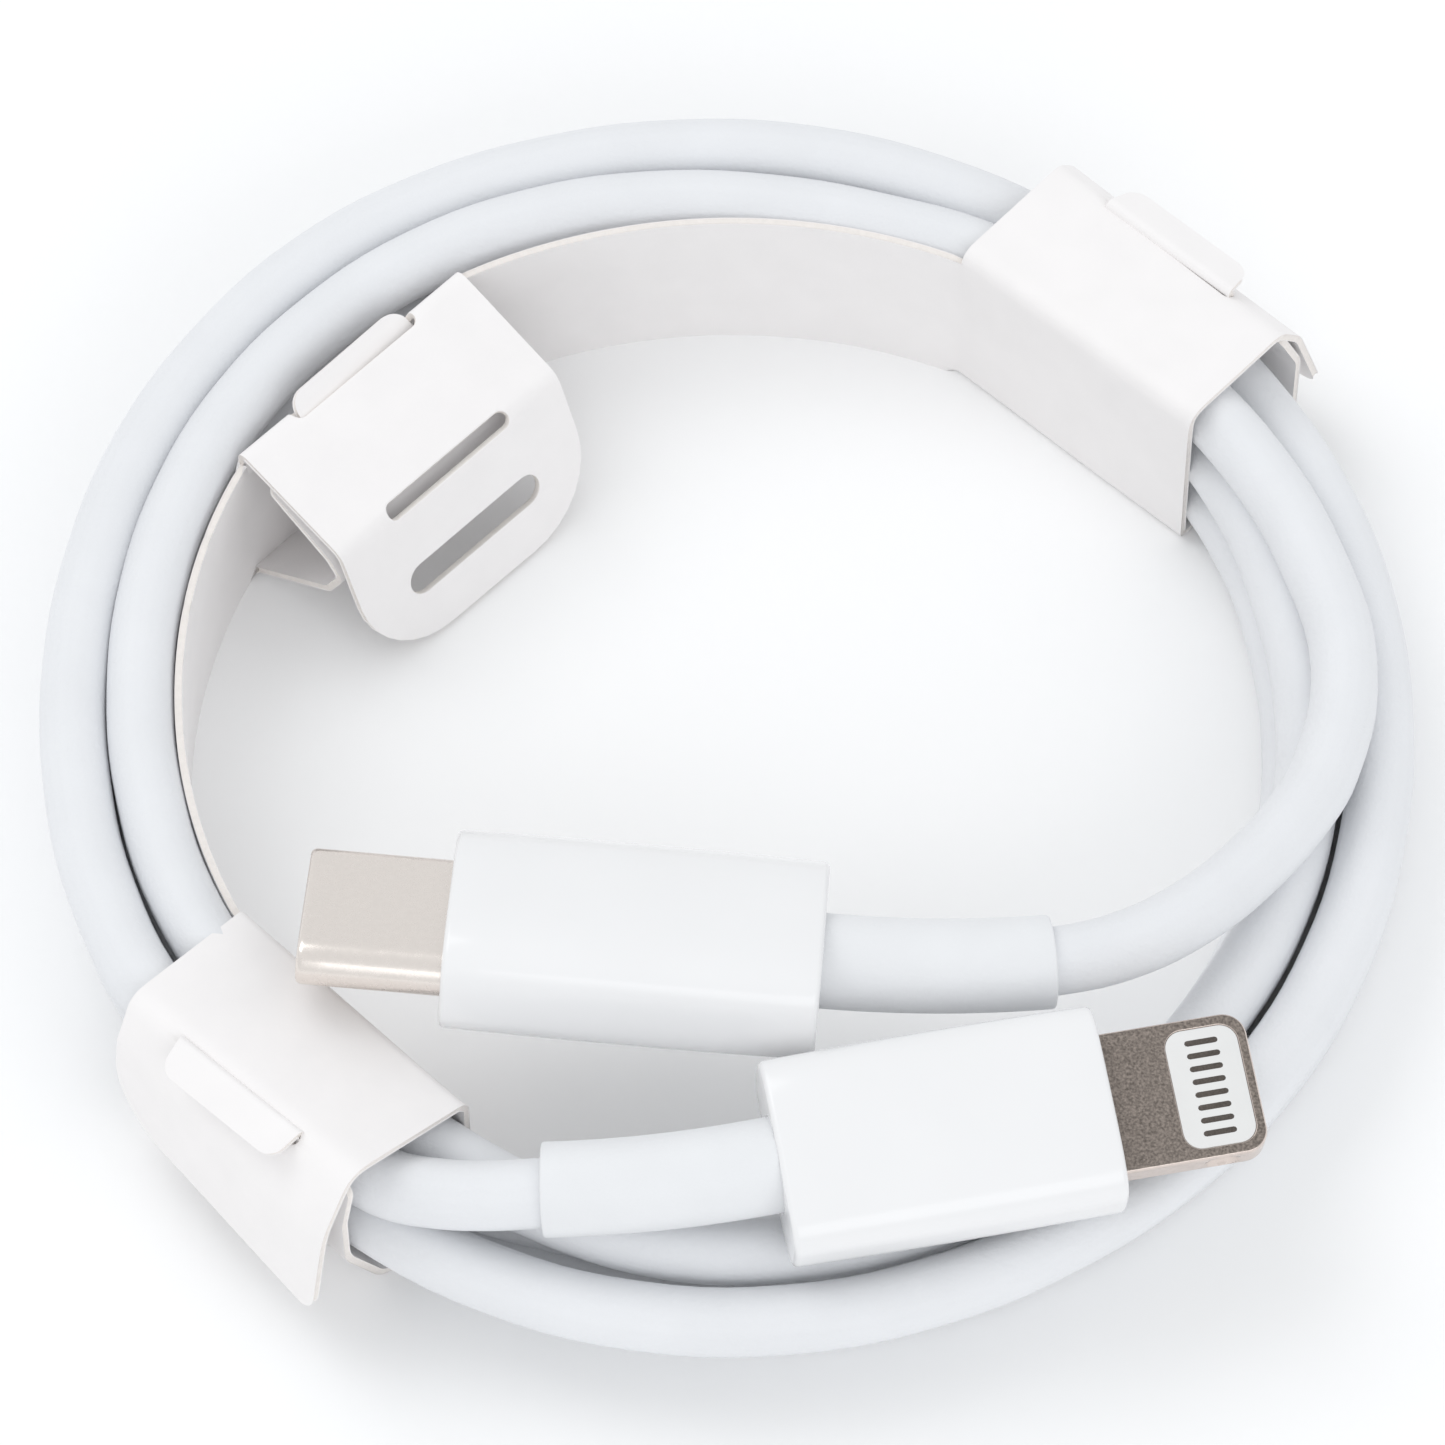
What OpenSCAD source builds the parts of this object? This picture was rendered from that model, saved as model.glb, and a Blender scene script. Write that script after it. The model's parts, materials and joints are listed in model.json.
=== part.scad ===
// Phone charging cable, coiled for storage in a folded card holder.
// One end has an oval metal charger plug, the other a flat phone plug with
// eight contacts. The card holder is a long strap inside the coil with three
// wrapping stations: A is folded inward, B and C close round the coil.
// Origin: on the resting surface, on the axis of the coil. +Z is up, and
// both plugs lie on the -Y side.

/* [Cable] */
// Outside diameter of the cable
cable_d = 3.2; // [3:0.05:3.3]
// Radius of the inner column of turns, at the cable's centre
coil_inner_r = 28.2; // [28:0.1:28.4]
// Radius of the outer column of turns, at the cable's centre
coil_outer_r = 31.3; // [31.1:0.1:31.4]
// Height from one layer of turns to the next
layer_step = 3; // [2.8:0.05:3.05]

/* [Charger plug] */
// Width of the oval metal shell
shell_w = 8.25; // [8.2:0.05:8.3]
// Thickness of the oval metal shell
shell_h = 2.4; // [2.35:0.05:2.45]
// Length of shell that stands out of the boot
shell_out = 6.65; // [6.2:0.05:6.9]
// Length, width and thickness of the charger plug's boot
charger_boot = [17.2, 10.3, 6];

/* [Phone plug] */
// Width of the flat metal tab
tab_w = 6.7; // [6.6:0.05:6.8]
// Thickness of the flat metal tab
tab_h = 1.5; // [1.4:0.05:1.6]
// Length of tab that stands out of the boot
tab_out = 6.85; // [6.6:0.05:7]
// Length, width and thickness of the phone plug's boot
phone_boot = [15.4, 9.5, 5];

/* [Strain reliefs] */
// Outside diameter of each strain relief
relief_d = 4.4; // [4.2:0.1:4.6]
// Radius to which each strain relief is bent
relief_bend_r = 55; // [50:1:70]
// Angle through which each strain relief is bent
relief_bend = 11; // [9:0.5:12]

/* [Card holder] */
// Thickness of the card
card_t = 0.35; // [0.3:0.01:0.36]
// Height of the strap
strap_h = 9.95; // [9.9:0.05:9.95]
// Width of each wrapping station, along its creases
station_w = 14.4; // [14:0.1:14.6]
// Depth of each top panel, from crease to crease
panel_depth = 6.9; // [6.8:0.1:7]
// Radius of an end tab's free corners
tab_corner_r = 3; // [2:0.5:4]

/* [Hidden] */
$fn = 48;

gap = 0.03;             // play between pieces that only touch
bead_proud = 0.02;      // how much wider a crease's bead is than the card is thick
droop_gap = 0.16;       // play behind the phone plug's boot, where its strain relief droops
phone_droop = 3;        // angle at which that strain relief leaves the boot, downward
cable_white = [0.93, 0.94, 0.96];
boot_white = [0.97, 0.97, 0.97];
card_white = [0.95, 0.94, 0.94];
nickel = [0.80, 0.77, 0.73];
dark_steel = [0.47, 0.43, 0.40];
copper = [0.72, 0.45, 0.25];
board_green = [0.12, 0.35, 0.22];

// ---- coil: two columns of turns, three layers where the cable doubles up ----
layer_z = [for (i = [0:2]) 0.4 + cable_d / 2 + i * layer_step];
charger_join = -12;     // bearing at which the charger end comes onto the coil
phone_join = 238;       // bearing at which the phone end leaves the coil
outer_rise = 70;        // bearing at which the outer column gains its third turn

// ---- holder stations: bearing, and distance from the axis to the inner crease ----
station_a = [137, 24.7];
station_b = [47.5, 24.9];
station_c = [227, 25.2];
crease_z = strap_h + 0.05 + card_t / 2;
slit_w = 8;             // length of the slit that a tongue passes through
slit_in = 0.55;         // how far the slit reaches into a top panel
slit_out = 0.45;        // how far the slit reaches into an end tab
tongue_w = 7.4;
flap_slope = 20.8;      // slope of station A's top flap, down and inward
tab_slope = 70;         // slope of station A's end tab
tab_a_length = 8.1;     // length of station A's end tab
c_strap_h = 9.05;       // height of the strap at station C
c_crease_z = 9.3;       // height of station C's inner crease
c_slope = 13.4;         // slope of station C's top panel, up and outward

// Pitch and roll of the plugs, and the point at the middle of each tip
charger_tip = [-19.4, -14.8, 11.3];
charger_turn = [-18, 2.4, -4.4];
phone_tip = [24.0, -22.95, 10];
phone_turn = [-12, 0, 190.9];

// Routes of the two free ends of the cable, from inside the plug to the coil
charger_route = [
    [-0.2, -16.3, 10.5], [4.5, -16.6, 10.3], [7.7, -16.8, 10.2], [11.4, -16.8, 10.0],
    [15.1, -16.4, 9.9], [18.1, -15.4, 9.5], [21.3, -13.4, 9.0], [24.4, -10.4, 8.5],
    [26.5, -7.4, 8.2], [27.6, -5.3, 8.0], [28.0, -3.5, 8.0], [28.2, -1, 8.0]
];
phone_route = [
    [6.6, -26.2, 10.1], [1.8, -27.2, 10.0], [-1.6, -27.7, 9.9], [-5.1, -28.1, 9.7],
    [-8.6, -28.3, 9.4], [-11, -28.2, 9.0], [-13.2, -27.7, 8.5], [-15.2, -27.0, 8.1],
    [-17.0, -26.2, 8.0], [-19.0, -24.9, 8.0], [-21.0, -23.2, 8.0]
];

// ---- small helpers ----
function unit(v) = v / norm(v);
function ahead(route, i) = unit(route[min(i + 1, len(route) - 1)] - route[max(i - 1, 0)]);
function ring(centre, along, r, sides) = let (
        side = unit(cross(along, [0, 0, 1])),
        up = cross(side, along))
    [for (k = [0:sides - 1]) centre + r * (cos(k * 360 / sides) * side + sin(k * 360 / sides) * up)];
function between(a, b, t) = a + (b - a) * t;
function curve_point(p0, p1, p2, p3, t) = 0.5 * ((2 * p1) + (p2 - p0) * t
    + (2 * p0 - 5 * p1 + 4 * p2 - p3) * t * t + (3 * p1 - p0 - 3 * p2 + p3) * t * t * t);
// Route with one extra point between each pair, on a smooth curve
function smoothed(route) = let (last = len(route) - 1) [
    for (i = [0:2 * last]) let (k = min(floor(i / 2), last - 1))
        curve_point(route[max(k - 1, 0)], route[k], route[k + 1], route[min(k + 2, last)], i / 2 - k)
];

// Round cable swept along a route
module cable(route, d, sides = 8) {
    n = len(route);
    points = [for (i = [0:n - 1]) each ring(route[i], ahead(route, i), d / 2, sides)];
    walls = [
        for (i = [0:n - 2]) for (k = [0:sides - 1]) let (k2 = (k + 1) % sides)
            [i * sides + k, i * sides + k2, (i + 1) * sides + k2, (i + 1) * sides + k]
    ];
    start = [for (k = [sides - 1:-1:0]) k];
    end = [for (k = [0:sides - 1]) (n - 1) * sides + k];
    polyhedron(points, concat([start], walls, [end]), convexity = 4);
}

// Outline of a band of card of even thickness along a folded line
function left_of(a, b) = let (u = unit(b - a)) [-u[1], u[0]];
function shifted(line, i, s) = let (
        last = len(line) - 1,
        before = left_of(line[max(i - 1, 0)], line[max(i, 1)]),
        after = left_of(line[min(i, last - 1)], line[min(i + 1, last)]),
        mitre = unit(before + after))
    line[i] + mitre * s / (mitre * before);
function band(line, t) = concat(
    [for (i = [0:len(line) - 1]) shifted(line, i, t / 2)],
    [for (i = [len(line) - 1:-1:0]) shifted(line, i, -t / 2)]
);
function polar(r, bearing) = [r * cos(bearing), r * sin(bearing)];

// Card folded along a line given as [distance from the axis, height]
module folded_card(line, w) {
    rotate([90, 0, 0])
        linear_extrude(w, center = true)
            polygon(band(line, card_t));
}

module at_station(station) {
    rotate([0, 0, station[0]])
        children();
}

// Round bead along a crease, on both sides of a slit or over the full width
module crease_bead(d, z, slit = 0) {
    bead_w = (station_w - slit) / 2;
    for (side = [-1, 1])
        translate([d, side * (station_w - bead_w) / 2, z])
            rotate([90, 0, 0])
                cylinder(h = bead_w, d = card_t + bead_proud, center = true);
}

module stadium(w, h) {
    square([w - h, h], center = true);
    for (side = [-1, 1])
        translate([side * (w - h) / 2, 0])
            circle(d = h);
}

module rounded(w, h, r) {
    square([w - 2 * r, h], center = true);
    square([w, h - 2 * r], center = true);
    for (x = [-1, 1], y = [-1, 1])
        translate([x * (w / 2 - r), y * (h / 2 - r)])
            circle(r);
}

// A plug's outline (width along y, thickness along z) carried from x0 to x1
module run(x0, x1) {
    translate([x0, 0, 0])
        rotate([90, 0, 90])
            linear_extrude(x1 - x0)
                children();
}

module box(x0, x1, w, z0, z1, y = 0) {
    translate([x0, y - w / 2, z0])
        cube([x1 - x0, w, z1 - z0]);
}

module rod(x0, x1, d, y = 0, z = 0) {
    translate([x0, y, z])
        rotate([0, 90, 0])
            cylinder(h = x1 - x0, d = d);
}

module place_charger(turn = charger_turn) {
    translate(charger_tip)
        rotate([0, 0, turn[2]])
            rotate([0, turn[1], 0])
                rotate([turn[0], 0, 0])
                    children();
}

module place_phone(turn = phone_turn) {
    translate(phone_tip)
        rotate([0, 0, turn[2]])
            rotate([0, turn[1], 0])
                rotate([turn[0], 0, 0])
                    children();
}

// ---- cable ----
module turns(r, z, from, to) {
    rotate_extrude(angle = to - from, start = from)
        translate([r, z])
            circle(d = cable_d);
}

module cable_coil() {
    color(cable_white) {
        rotate_extrude() {
            for (r = [coil_inner_r, coil_outer_r], i = [0, 1])
                translate([r, layer_z[i]])
                    circle(d = cable_d);
            translate([coil_inner_r, layer_z[0]])
                square([coil_outer_r - coil_inner_r, layer_step]);
        }
        turns(coil_inner_r, layer_z[2], charger_join, phone_join);
        turns(coil_outer_r, layer_z[2], outer_rise, phone_join);
    }
}

module charger_tail() {
    color(cable_white)
        cable(smoothed(charger_route), cable_d);
}

module phone_tail() {
    color(cable_white)
        cable(smoothed(phone_route), cable_d);
}

// Strain relief: a tube bent sideways, its axis leaving the origin along +X
module bent_relief() {
    translate([0, relief_bend_r, 0])
        rotate_extrude(angle = relief_bend, start = -90)
            translate([relief_bend_r, 0])
                difference() {
                    circle(d = relief_d);
                    circle(d = cable_d + 0.2);
                }
}

// ---- charger plug, along +X from the tip ----
charger_rear = shell_out + charger_boot[0];

module charger_plug_shell() {
    color(nickel)
        place_charger()
            run(0, 9.5)
                difference() {
                    stadium(shell_w, shell_h);
                    stadium(shell_w - 0.5, shell_h - 0.5);
                }
}

module charger_plug_insulator() {
    color([0.2, 0.2, 0.21])
        place_charger()
            difference() {
                run(0.4, 9.3)
                    stadium(7.6, 1.6);
                run(0.3, 6.2)
                    square([6.7, 0.9], center = true);
            }
}

module charger_plug_contacts() {
    color(copper)
        place_charger()
            for (i = [0:11], side = [-1, 1])
                translate([1.2, (i - 5.5) * 0.5, side * 0.36])
                    translate([0, -0.125, -0.06])
                        cube([4.6, 0.25, 0.12]);
}

module charger_plug_latches() {
    color(nickel)
        place_charger()
            for (side = [-1, 1])
                box(1, 5.8, 0.14, -0.25, 0.25, y = side * 3.22);
}

module charger_plug_ground_springs() {
    color(nickel)
        place_charger()
            for (z = [0.82, -0.93])
                box(2, 6.4, 5, z, z + 0.11);
}

module charger_plug_board() {
    color(board_green)
        place_charger()
            box(9.6, 17.4, 7.2, -0.4, 0.4);
}

module charger_plug_chips() {
    color([0.15, 0.15, 0.16])
        place_charger() {
            box(12, 15, 3, 0.42, 1.15);
            for (x = [10.2, 15.8], y = [-2.4, 2.4], z = [0.42, -0.82])
                box(x, x + 0.8, 0.5, z, z + 0.4, y = y);
        }
}

module charger_plug_inner_can() {
    color([0.75, 0.75, 0.76])
        place_charger()
            run(9.8, 18.2)
                difference() {
                    rounded(8.7, 4.2, 0.8);
                    rounded(8.2, 3.7, 0.55);
                }
}

module charger_plug_inner_mould() {
    color([0.88, 0.88, 0.86])
        place_charger()
            difference() {
                run(18.3, 22.5)
                    rounded(8.6, 4.5, 0.9);
                rod(18.2, 22.6, 4.3);
            }
}

module charger_plug_crimp() {
    color([0.7, 0.7, 0.72])
        place_charger()
            difference() {
                rod(19.6, 22, 4.2);
                rod(19.5, 22.1, cable_d + 0.2);
            }
}

module charger_plug_wires() {
    color([0.8, 0.2, 0.15])
        place_charger()
            for (i = [-1.5:1.5])
                rod(17.5, 19, 0.65, y = i * 0.8);
}

module charger_plug_boot() {
    color(boot_white)
        place_charger()
            difference() {
                run(shell_out, charger_rear)
                    rounded(charger_boot[1], charger_boot[2], 2.4);
                run(shell_out - 1, 9)
                    stadium(shell_w + 2 * gap, shell_h + 2 * gap);
                run(7.9, charger_rear - 1.2)
                    rounded(8.9, 4.7, 1);
                rod(20, charger_rear + 1, cable_d + 0.3);
            }
}

module charger_plug_strain_relief() {
    color(cable_white)
        place_charger([0, charger_turn[1], charger_turn[2]])
            translate([charger_rear + gap, 0, 0])
                bent_relief();
}

// ---- phone plug, along +X from the tip of its tab ----
phone_rear = tab_out + phone_boot[0];
window_x = [0.45, 3.85];        // the insert's window in the tab
window_w = 5.7;
contact_pitch = 0.62;
contact = [1.5, 0.27, 0.08];    // length, width, thickness of a contact

module tab_outline() {
    r = 1.1;
    translate([r, -tab_w / 2])
        square([9.5 - r, tab_w]);
    translate([0, -tab_w / 2 + r])
        square([r + 1, tab_w - 2 * r]);
    for (side = [-1, 1])
        translate([r, side * (tab_w / 2 - r)])
            circle(r);
}

module window_outline(inset) {
    translate([(window_x[0] + window_x[1]) / 2, 0])
        rounded(window_x[1] - window_x[0] - 2 * inset, window_w - 2 * inset, 0.85);
}

module phone_plug_frame() {
    color(dark_steel)
        place_phone()
            translate([0, 0, -tab_h / 2])
                difference() {
                    linear_extrude(tab_h)
                        tab_outline();
                    translate([0, 0, -1])
                        linear_extrude(tab_h + 2)
                            window_outline(0);
                    for (side = [-1, 1])
                        translate([2.2, side * (tab_w / 2 + 0.95), -1])
                            cylinder(h = tab_h + 2, r = 1.2);
                }
}

module contact_places(z) {
    for (i = [0:7], side = [-1, 1])
        translate([2.15, (i - 3.5) * contact_pitch, side * z])
            children();
}

module phone_plug_insert() {
    color([0.93, 0.93, 0.92])
        place_phone()
            difference() {
                translate([0, 0, -tab_h / 2 + 0.01])
                    linear_extrude(tab_h - 0.02)
                        window_outline(gap);
                contact_places(tab_h / 2)
                    cube([contact[0] + 0.04, contact[1] + 0.04, 0.24], center = true);
            }
}

module phone_plug_contacts() {
    color([0.25, 0.23, 0.21])
        place_phone()
            contact_places(tab_h / 2 - 0.07)
                cube(contact, center = true);
}

module phone_plug_board() {
    color(board_green)
        place_phone()
            box(9.7, 16.2, 5.6, -0.4, 0.4);
}

module phone_plug_chips() {
    color([0.15, 0.15, 0.16])
        place_phone() {
            box(11.6, 13.8, 2.2, 0.42, 1.05);
            for (x = [10.3, 14.8], y = [-1.9, 1.9], z = [0.42, -0.82])
                box(x, x + 0.8, 0.5, z, z + 0.4, y = y);
        }
}

module phone_plug_inner_can() {
    color([0.75, 0.75, 0.76])
        place_phone()
            run(9.8, 16.6)
                difference() {
                    rounded(7.4, 3.4, 0.7);
                    rounded(6.9, 2.9, 0.45);
                }
}

module phone_plug_inner_mould() {
    color([0.88, 0.88, 0.86])
        place_phone()
            difference() {
                run(16.7, 20.8)
                    rounded(7.6, 3.7, 0.8);
                rod(16.6, 20.9, 3.62);
            }
}

module phone_plug_crimp() {
    color([0.7, 0.7, 0.72])
        place_phone()
            difference() {
                rod(18, 20.4, 3.6);
                rod(17.9, 20.5, cable_d + 0.06);
            }
}

module phone_plug_wires() {
    color([0.8, 0.2, 0.15])
        place_phone()
            for (i = [-1.5:1.5])
                rod(16.3, 17.4, 0.6, y = i * 0.7);
}

module phone_plug_boot() {
    color(boot_white)
        place_phone()
            difference() {
                run(tab_out, phone_rear)
                    rounded(phone_boot[1], phone_boot[2], 1.9);
                box(tab_out - 1, 9, tab_w + 2 * gap, -tab_h / 2 - gap, tab_h / 2 + gap);
                run(8, phone_rear - 1.2)
                    rounded(8, 3.9, 0.9);
                rod(18, phone_rear + 1, cable_d + 0.3);
            }
}

module phone_plug_strain_relief() {
    color(cable_white)
        place_phone([0, 0, phone_turn[2]])
            translate([phone_rear + droop_gap, 0, 0])
                rotate([0, phone_droop, 0])
                    mirror([0, 1, 0])
                        bent_relief();
}

// ---- card holder ----
half_turn = function (station) atan(station_w / 2 / station[1]);
corner_r = function (station) norm([station_w / 2, station[1]]);

// The strap's arc between the facing corners of two stations
function strap_arc(from, to) = let (
        a = from[0] - half_turn(from),
        b = to[0] + half_turn(to))
    [for (i = [0:12]) polar(between(corner_r(from), corner_r(to), i / 12), between(a, b, i / 12))];

module holder_strap() {
    line = concat(
        [polar(corner_r(station_c), station_c[0] + half_turn(station_c))],
        strap_arc(station_c, station_a),
        strap_arc(station_a, station_b),
        [polar(corner_r(station_b), station_b[0] - half_turn(station_b))]
    );
    color(card_white)
        difference() {
            linear_extrude(strap_h)
                polygon(band(line, card_t));
            // opening in the top crease for station A's tongue
            at_station(station_a)
                translate([station_a[1], 0, strap_h])
                    cube([2, slit_w, 1.8], center = true);
            // lower strap under station C's sloping panel
            at_station(station_c)
                translate([station_c[1], 0, c_strap_h + 2])
                    cube([4, station_w + 0.2, 4], center = true);
        }
}

// Top panel between two creases; direction 1 goes outward, -1 inward
module top_panel(station, direction, at_crease) {
    d0 = station[1] + direction * at_crease;
    d1 = station[1] + direction * (panel_depth - card_t / 2 - gap);
    difference() {
        translate([min(d0, d1), -station_w / 2, crease_z - card_t / 2])
            cube([abs(d1 - d0), station_w, card_t]);
        translate([station[1] + direction * panel_depth, 0, crease_z])
            cube([2 * slit_in, slit_w, 2], center = true);
    }
}

// End tab, flat along +X from its crease, with the slit's outer half cut away
module tab_plate_outline() {
    r = tab_corner_r;
    difference() {
        union() {
            translate([0, -station_w / 2])
                square([tab_a_length - r, station_w]);
            translate([tab_a_length - r - 0.5, -station_w / 2 + r])
                square([r + 0.5, station_w - 2 * r]);
            for (side = [-1, 1])
                translate([tab_a_length - r, side * (station_w / 2 - r)])
                    circle(r);
        }
        translate([slit_out / 2 - 0.5, 0])
            square([slit_out + 1, slit_w], center = true);
    }
}

// Station A, folded inward and holding no cable
module wrap_a_lower_wing() {
    color(card_white)
        at_station(station_a) {
            folded_card([
                [24.3, 0.35], [19.1, 4.4], [18.85, 5.0], [19.4, 5.5], [23.4, 8.6]
            ], station_w);
            folded_card([[23.2, 8.45], [24.2, 9.25], [24.9, 9.8], [25.5, 10.4]], tongue_w);
        }
}

module wrap_a_top_flap() {
    color(card_white)
        at_station(station_a)
            translate([station_a[1], 0, crease_z])
                rotate([0, -flap_slope, 0])
                    translate([-station_a[1], 0, -crease_z]) {
                        difference() {
                            top_panel(station_a, -1, 0);
                            translate([station_a[1], 0, crease_z])
                                cube([2 * slit_in, slit_w, 2], center = true);
                        }
                        crease_bead(station_a[1], crease_z, slit_w);
                    }
}

module wrap_a_end_tab() {
    fold_d = station_a[1] - panel_depth * cos(flap_slope);
    fold_z = crease_z - panel_depth * sin(flap_slope);
    color(card_white)
        at_station(station_a) {
            translate([fold_d, 0, fold_z])
                rotate([0, tab_slope, 180])
                    translate([0, 0, -card_t / 2])
                        linear_extrude(card_t)
                            difference() {
                                tab_plate_outline();
                                // hanging hole
                                translate([4.5, 0])
                                    rotate([0, 0, 90])
                                        stadium(8.6, 1.7);
                            }
            crease_bead(fold_d, fold_z, slit_w);
        }
}

// Outer creases of the stations that close round the coil: distance and height
fold_b = [station_b[1] + panel_depth, crease_z];
fold_c = [station_c[1] + panel_depth * cos(c_slope), c_crease_z + panel_depth * sin(c_slope)];

// Lower wing of a station that closes round the coil, with its tongue
module lower_wing(station, wall, tongue) {
    floor_start = station[1] + card_t / 2 + gap;
    color(card_white)
        at_station(station) {
            folded_card(concat([[floor_start, card_t / 2]], wall), station_w);
            folded_card(concat([wall[len(wall) - 1] - [0, 0.1]], tongue), tongue_w);
        }
}

// End tab bent over the coil, its line starting at the outer crease
module outer_end_tab(station, fold, line) {
    end = line[len(line) - 1];
    reach = end[0] - fold[0];
    color(card_white)
        at_station(station) {
            difference() {
                folded_card(concat([fold], line), station_w);
                translate([fold[0], 0, fold[1]])
                    cube([2 * slit_out, slit_w, 2], center = true);
                // free corners, rounded in the plane of the tab
                for (side = [-1, 1])
                    translate([end[0], side * station_w / 2, end[1]])
                        rotate([0, 90 - atan2(reach, fold[1] - end[1]), 0])
                            tab_corner_cut(side);
            }
            crease_bead(fold[0], fold[1], slit_w);
        }
}

// What is cut from a square corner to round it
module tab_corner_cut(side) {
    r = tab_corner_r;
    translate([-r, -side * r, -2])
        difference() {
            translate([0, side > 0 ? 0 : -r - 1, 0])
                cube([r + 1, r + 1, 4]);
            translate([0, 0, -1])
                cylinder(r = r, h = 6);
        }
}

module wrap_b_lower_wing() {
    lower_wing(
        station_b,
        [[32.7, 0.175], [33.1, 0.9], [33.1, 6.4], [32.1, 8.9]],
        [[31.72, 9.9], [31.85, 10.5], [33.4, 10.9]]
    );
}

module wrap_b_top_panel() {
    color(card_white)
        at_station(station_b)
            top_panel(station_b, 1, -card_t / 2);
}

module wrap_b_end_tab() {
    outer_end_tab(station_b, fold_b, [[33.2, 9.2], [34.0, 3.2]]);
}

module wrap_c_lower_wing() {
    lower_wing(
        station_c,
        [[32.8, 0.175], [33.2, 0.9], [33.2, 8.2], [32.75, 9.2]],
        [[31.86, 10.72], [32.11, 11.27], [34.0, 10.6]]
    );
}

module wrap_c_top_panel() {
    color(card_white)
        at_station(station_c)
            translate([station_c[1], 0, c_crease_z])
                rotate([0, -c_slope, 0])
                    translate([-station_c[1], 0, -crease_z])
                        top_panel(station_c, 1, -card_t / 2);
}

module wrap_c_end_tab() {
    outer_end_tab(station_c, fold_c, [[33.8, 8.9], [34.45, 4.3]]);
}

cable_coil();
charger_tail();
phone_tail();
charger_plug_shell();
charger_plug_insulator();
charger_plug_contacts();
charger_plug_latches();
charger_plug_ground_springs();
charger_plug_board();
charger_plug_chips();
charger_plug_inner_can();
charger_plug_inner_mould();
charger_plug_crimp();
charger_plug_wires();
charger_plug_boot();
charger_plug_strain_relief();
phone_plug_frame();
phone_plug_insert();
phone_plug_contacts();
phone_plug_board();
phone_plug_chips();
phone_plug_inner_can();
phone_plug_inner_mould();
phone_plug_crimp();
phone_plug_wires();
phone_plug_boot();
phone_plug_strain_relief();
holder_strap();
wrap_a_lower_wing();
wrap_a_top_flap();
wrap_a_end_tab();
wrap_b_lower_wing();
wrap_b_top_panel();
wrap_b_end_tab();
wrap_c_lower_wing();
wrap_c_top_panel();
wrap_c_end_tab();
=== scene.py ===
"""Phone charging cable coiled in a folded card holder. Lengths in the tables are in millimetres."""
import json
from math import atan, cos, degrees, hypot, pi, radians, sin

import bmesh
import bpy
from mathutils import Matrix, Vector, noise


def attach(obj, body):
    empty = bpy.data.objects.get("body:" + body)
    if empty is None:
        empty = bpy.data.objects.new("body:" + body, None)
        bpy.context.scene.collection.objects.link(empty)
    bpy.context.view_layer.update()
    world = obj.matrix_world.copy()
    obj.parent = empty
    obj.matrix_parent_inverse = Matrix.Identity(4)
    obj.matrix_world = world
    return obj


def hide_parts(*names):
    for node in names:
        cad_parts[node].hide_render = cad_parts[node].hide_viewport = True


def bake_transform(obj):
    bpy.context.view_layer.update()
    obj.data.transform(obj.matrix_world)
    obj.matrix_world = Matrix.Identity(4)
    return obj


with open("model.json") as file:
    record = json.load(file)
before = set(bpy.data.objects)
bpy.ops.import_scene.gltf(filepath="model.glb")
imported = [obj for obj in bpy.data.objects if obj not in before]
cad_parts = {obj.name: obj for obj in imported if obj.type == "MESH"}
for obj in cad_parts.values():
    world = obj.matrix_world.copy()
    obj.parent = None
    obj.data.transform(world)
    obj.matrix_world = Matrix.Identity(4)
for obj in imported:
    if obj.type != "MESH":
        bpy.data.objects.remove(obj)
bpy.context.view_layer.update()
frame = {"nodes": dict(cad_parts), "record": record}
scene = bpy.context.scene
MM = 0.001

# ---- camera ----
camera_data = bpy.data.cameras.new("camera")
camera_data.sensor_width = 36
camera_data.lens = 211.8
camera_data.shift_x = -0.0031
camera_data.shift_y = -0.0308
camera_data.clip_start = 0.01
camera_data.clip_end = 10
camera = bpy.data.objects.new("camera", camera_data)
camera.location = (0, -0.2155, 0.3453)
camera.rotation_euler = (radians(32.6), 0, 0)
scene.collection.objects.link(camera)
scene.camera = camera

# ---- cable ----
CABLE_D = 3.2
RELIEF_D = 4.4
ROUTE_STEP = 12                         # degrees round the coil from one point of the route to the next
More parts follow.
